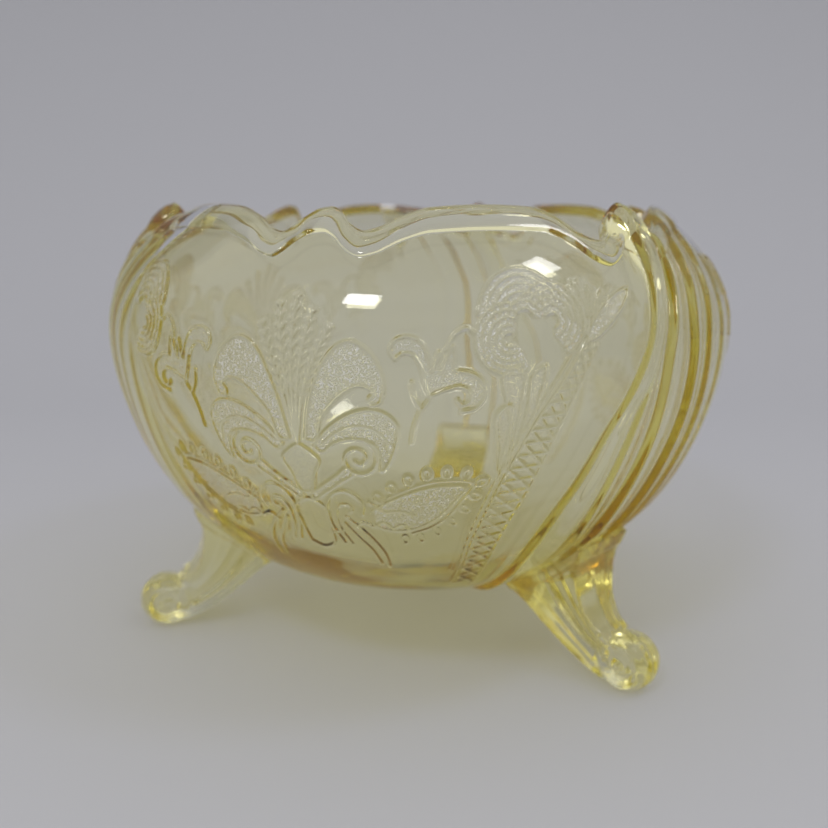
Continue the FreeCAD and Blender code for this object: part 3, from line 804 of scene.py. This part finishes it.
def foot_blank(name):
    """Smoothed prism of the foot's side outline, lying along the radius."""
    obj = prism(name, foot_outline(), PRISM_HALF)
    remesh = obj.modifiers.new("remesh", "REMESH")
    remesh.mode = "VOXEL"
    remesh.voxel_size = VOXEL
    smooth = obj.modifiers.new("smooth", "SMOOTH")
    smooth.factor = 0.5
    smooth.iterations = SMOOTH_PASSES
    apply_modifiers(obj)
    return obj


def vertex_rows(mesh, field):
    """Rows of x, y and z of one vertex property."""
    values = np.empty(len(mesh.vertices) * 3)
    mesh.vertices.foreach_get(field, values)
    return values.reshape(-1, 3).T


def foot_width(r, z, roll):
    """Half width: wide at the root, narrow at the neck, wider again on the scroll."""
    distance = np.hypot(r - ROLL_AXIS_RADIUS, z - ROLL_RADIUS)
    share = np.clip((distance - WIDTH_REACH[0]) / (WIDTH_REACH[1] - WIDTH_REACH[0]), 0.0, 1.0)
    width = HALF_WIDTH_NECK + (HALF_WIDTH_ROOT - HALF_WIDTH_NECK) * share ** WIDTH_POWER
    return width + (HALF_WIDTH_ROLL - HALF_WIDTH_NECK) * roll


def foot_object(name, angle):
    """One scroll foot: the blank, given its widths, its relief and its place."""
    obj = foot_blank(name)
    mesh = obj.data
    r, s, z = vertex_rows(mesh, "co")
    normal_r, _, normal_z = vertex_rows(mesh, "normal")
    side = s / PRISM_HALF
    roll = free_roll(r, z)
    sideways, ring, collar = foot_relief(r, side, z)
    s = side * (foot_width(r, z, roll) + collar) + np.sign(s) * sideways
    r = r + normal_r * (ring + collar)
    z = z + normal_z * (ring + collar)
    shrink = 1.0 - (1.0 - ROLL_END_RADIUS / ROLL_RADIUS) * side ** 2 * roll
    r = ROLL_AXIS_RADIUS + (r - ROLL_AXIS_RADIUS) * shrink
    z = ROLL_RADIUS + (z - ROLL_RADIUS) * shrink
    z = np.maximum(z - PAD_DEPTH, 0.0)
    a = math.radians(angle)
    x = r * math.sin(a) + s * math.cos(a)
    y = -r * math.cos(a) + s * math.sin(a)
    mesh.vertices.foreach_set("co", (np.stack([x, y, z], -1) * MM).ravel())
    mesh.update()
    mesh.shade_smooth()
    return obj


# ---- materials ----------------------------------------------------------------------
GLASS_IOR = 1.51
POLISHED = 0.008
FROSTED = 0.06
WAVE_SCALE = 55.0
WAVE_DETAIL = 1.0
WAVE_DEPTH = 0.00015
GRAIN_SCALE = 2400.0
GRAIN_DETAIL = 3.0
GRAIN_DEPTH = 0.0003
SPECK_RANGE = (0.51, 0.62)    # grain values between which a speck turns white
SPECK_CLARITY = 0.35          # how clear a white speck still is
BOWL_DENSITY = 50.0           # absorption per metre
FOOT_DENSITY = 40.0
WHITE = (1.0, 1.0, 1.0, 1.0)
ABSORPTION_COLOUR = (0.935, 0.875, 0.10, 1.0)
SHADOW_TINT = (0.88, 0.87, 0.80, 1.0)


def map_range(tree, value, source, target):
    """The value, moved from one range to another."""
    node = tree.nodes.new("ShaderNodeMapRange")
    node.inputs["From Min"].default_value, node.inputs["From Max"].default_value = source
    node.inputs["To Min"].default_value, node.inputs["To Max"].default_value = target
    tree.links.new(value, node.inputs["Value"])
    return node.outputs["Result"]


def combine(tree, operation, first, second):
    node = tree.nodes.new("ShaderNodeMath")
    node.operation = operation
    tree.links.new(first, node.inputs[0])
    tree.links.new(second, node.inputs[1])
    return node.outputs[0]


def noise(tree, place, scale, detail):
    node = tree.nodes.new("ShaderNodeTexNoise")
    node.inputs["Scale"].default_value = scale
    node.inputs["Detail"].default_value = detail
    tree.links.new(place, node.inputs["Vector"])
    return node.outputs["Fac"]


def bumped(tree, height, distance):
    node = tree.nodes.new("ShaderNodeBump")
    node.inputs["Strength"].default_value = 1.0
    node.inputs["Distance"].default_value = distance
    tree.links.new(height, node.inputs["Height"])
    return node


def glass_surface(tree):
    """Clear, slightly wavy glass; frosted and specked white where the frost attribute says."""
    links = tree.links
    glass = tree.nodes.new("ShaderNodeBsdfPrincipled")
    glass.inputs["Base Color"].default_value = WHITE
    glass.inputs["IOR"].default_value = GLASS_IOR
    attribute = tree.nodes.new("ShaderNodeAttribute")
    attribute.attribute_name = "frost"
    frost = attribute.outputs["Fac"]
    links.new(map_range(tree, frost, (0.0, 1.0), (POLISHED, FROSTED)), glass.inputs["Roughness"])
    place = tree.nodes.new("ShaderNodeTexCoord").outputs["Object"]
    waves = bumped(tree, noise(tree, place, WAVE_SCALE, WAVE_DETAIL), WAVE_DEPTH)
    grain = noise(tree, place, GRAIN_SCALE, GRAIN_DETAIL)
    grains = bumped(tree, grain, GRAIN_DEPTH)
    links.new(frost, grains.inputs["Strength"])
    links.new(waves.outputs["Normal"], grains.inputs["Normal"])
    links.new(grains.outputs["Normal"], glass.inputs["Normal"])
    white = combine(tree, "MULTIPLY", map_range(tree, grain, SPECK_RANGE, (0.0, 1.0)), frost)
    clarity = map_range(tree, white, (0.0, 1.0), (1.0, SPECK_CLARITY))
    links.new(clarity, glass.inputs["Transmission Weight"])
    return glass.outputs[0]


def lamp_light_passes(tree, surface):
    """The surface, replaced by a tinted clear one for light on its way to what stands behind."""
    clear = tree.nodes.new("ShaderNodeBsdfTransparent")
    clear.inputs["Color"].default_value = SHADOW_TINT
    path = tree.nodes.new("ShaderNodeLightPath")
    passing = combine(tree, "MAXIMUM", path.outputs["Is Shadow Ray"], path.outputs["Is Diffuse Ray"])
    mix = tree.nodes.new("ShaderNodeMixShader")
    tree.links.new(passing, mix.inputs[0])
    tree.links.new(surface, mix.inputs[1])
    tree.links.new(clear.outputs[0], mix.inputs[2])
    return mix.outputs[0]


def glass_material(name, density):
    """Pale yellow pressed glass that takes its colour from its depth."""
    material = bpy.data.materials.new(name)
    material.use_nodes = True
    tree = material.node_tree
    tree.nodes.clear()
    output = tree.nodes.new("ShaderNodeOutputMaterial")
    absorb = tree.nodes.new("ShaderNodeVolumeAbsorption")
    absorb.inputs["Density"].default_value = density
    absorb.inputs["Color"].default_value = ABSORPTION_COLOUR
    tree.links.new(lamp_light_passes(tree, glass_surface(tree)), output.inputs["Surface"])
    tree.links.new(absorb.outputs[0], output.inputs["Volume"])
    return material


def floor_material():
    material = bpy.data.materials.new("studio_floor")
    material.use_nodes = True
    shader = material.node_tree.nodes["Principled BSDF"]
    shader.inputs["Base Color"].default_value = FLOOR_COLOUR
    shader.inputs["Roughness"].default_value = 0.9
    return material


# ---- studio -------------------------------------------------------------------------
FLOOR_COLOUR = (0.56, 0.56, 0.58, 1.0)
WORLD_COLOUR = (1.0, 1.0, 1.04, 1.0)
HORIZON_LIGHT, ZENITH_LIGHT = 0.36, 0.72
SKY_RISE = (0.05, 0.6)
CAMERA_AZIMUTH = 16.2
FOCUS_DISTANCE = 202.0
FOCUS_STOP = 11.0
CAMERA_DISTANCE = 297.0
CAMERA_HEIGHT = 136.5
CAMERA_SIDE = -1.9
CAMERA_TILT = 13.24
FOCAL = 38.7
SENSOR = 36.0
LIGHT_BOUNCES = 32
LAMP_TARGET = Vector((0.0, 0.0, 0.1))
LAMP_DISTANCE = 0.9
# name, azimuth, elevation, size in metres, radiance
LAMPS = (("window", -8.0, 45.0, (0.16, 0.12), 18.0),
         ("side_window", 82.0, 57.0, (0.18, 0.14), 10.0))


def add_camera():
    data = bpy.data.cameras.new("camera")
    data.lens = FOCAL
    data.sensor_width = SENSOR
    data.clip_start = 0.01
    data.dof.use_dof = True
    data.dof.focus_distance = FOCUS_DISTANCE * MM
    data.dof.aperture_fstop = FOCUS_STOP
    camera = bpy.data.objects.new("camera", data)
    a = math.radians(CAMERA_AZIMUTH)
    back = Vector((math.sin(a), -math.cos(a), 0.0))
    right = Vector((math.cos(a), math.sin(a), 0.0))
    place = back * CAMERA_DISTANCE + right * CAMERA_SIDE + Vector((0.0, 0.0, CAMERA_HEIGHT))
    camera.location = place * MM
    camera.rotation_euler = (math.radians(90.0 - CAMERA_TILT), 0.0, a)
    bpy.context.scene.collection.objects.link(camera)
    bpy.context.scene.camera = camera


def add_floor():
    """Floor that sweeps up into a backdrop behind the bowl."""
    half, back, curve, top, steps = 1.6, 0.75, 0.45, 1.4, 12
    section = [(-half, 0.0), (back - curve, 0.0)]
    for step in range(1, steps + 1):
        turn = math.pi / 2.0 * step / steps
        section.append((back - curve + curve * math.sin(turn), curve - curve * math.cos(turn)))
    section.append((back, top))
    verts, faces = [], []
    for y, z in section:
        verts += [(-half, y, z), (half, y, z)]
    for k in range(len(section) - 1):
        faces.append((2 * k, 2 * k + 1, 2 * k + 3, 2 * k + 2))
    mesh = bpy.data.meshes.new("studio_floor")
    mesh.from_pydata(verts, [], faces)
    mesh.shade_smooth()
    obj = bpy.data.objects.new("studio_floor", mesh)
    obj.rotation_euler = (0.0, 0.0, math.radians(CAMERA_AZIMUTH))
    obj.data.materials.append(floor_material())
    bpy.context.scene.collection.objects.link(obj)


def add_lamp(name, azimuth, elevation, size, radiance):
    """Rectangular lamp that faces the bowl."""
    data = bpy.data.lights.new(name, "AREA")
    data.shape = "RECTANGLE"
    data.size, data.size_y = size
    data.energy = math.pi * size[0] * size[1] * radiance
    a, e = math.radians(azimuth), math.radians(elevation)
    away = Vector((math.sin(a) * math.cos(e), -math.cos(a) * math.cos(e), math.sin(e)))
    light = bpy.data.objects.new(name, data)
    light.location = LAMP_TARGET + away * LAMP_DISTANCE
    light.rotation_euler = (-away).to_track_quat("-Z", "Y").to_euler()
    bpy.context.scene.collection.objects.link(light)


def add_world():
    """Even studio light that is dimmer near the horizon, like a room under a bright ceiling."""
    world = bpy.data.worlds.new("world")
    world.use_nodes = True
    nodes, links = world.node_tree.nodes, world.node_tree.links
    background = nodes["Background"]
    background.inputs["Color"].default_value = WORLD_COLOUR
    place = nodes.new("ShaderNodeTexCoord")
    split = nodes.new("ShaderNodeSeparateXYZ")
    links.new(place.outputs["Generated"], split.inputs["Vector"])
    strength = map_range(world.node_tree, split.outputs["Z"], SKY_RISE, (HORIZON_LIGHT, ZENITH_LIGHT))
    links.new(strength, background.inputs["Strength"])
    bpy.context.scene.world = world


def set_light_paths(scene):
    """Enough bounces for light that is trapped in thick glass."""
    scene.cycles.max_bounces = LIGHT_BOUNCES
    scene.cycles.transmission_bounces = LIGHT_BOUNCES
    scene.cycles.glossy_bounces = LIGHT_BOUNCES
    scene.cycles.transparent_max_bounces = LIGHT_BOUNCES


def add_piece(obj, material, node):
    """Register a finished piece: its material and the CAD node it replaces."""
    obj.data.materials.append(material)
    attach(obj, "root")
    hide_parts(node)


def main():
    bowl_glass = glass_material("bowl_glass", BOWL_DENSITY)
    add_piece(bowl_mesh(), bowl_glass, "bowl")
    foot_glass = glass_material("foot_glass", FOOT_DENSITY)
    for name, angle in FOOT_ANGLES.items():
        add_piece(foot_object(name + "_scroll", angle), foot_glass, name)
    add_floor()
    add_world()
    for lamp in LAMPS:
        add_lamp(*lamp)
    add_camera()
    bpy.context.scene.view_settings.view_transform = "Standard"
    set_light_paths(bpy.context.scene)


main()
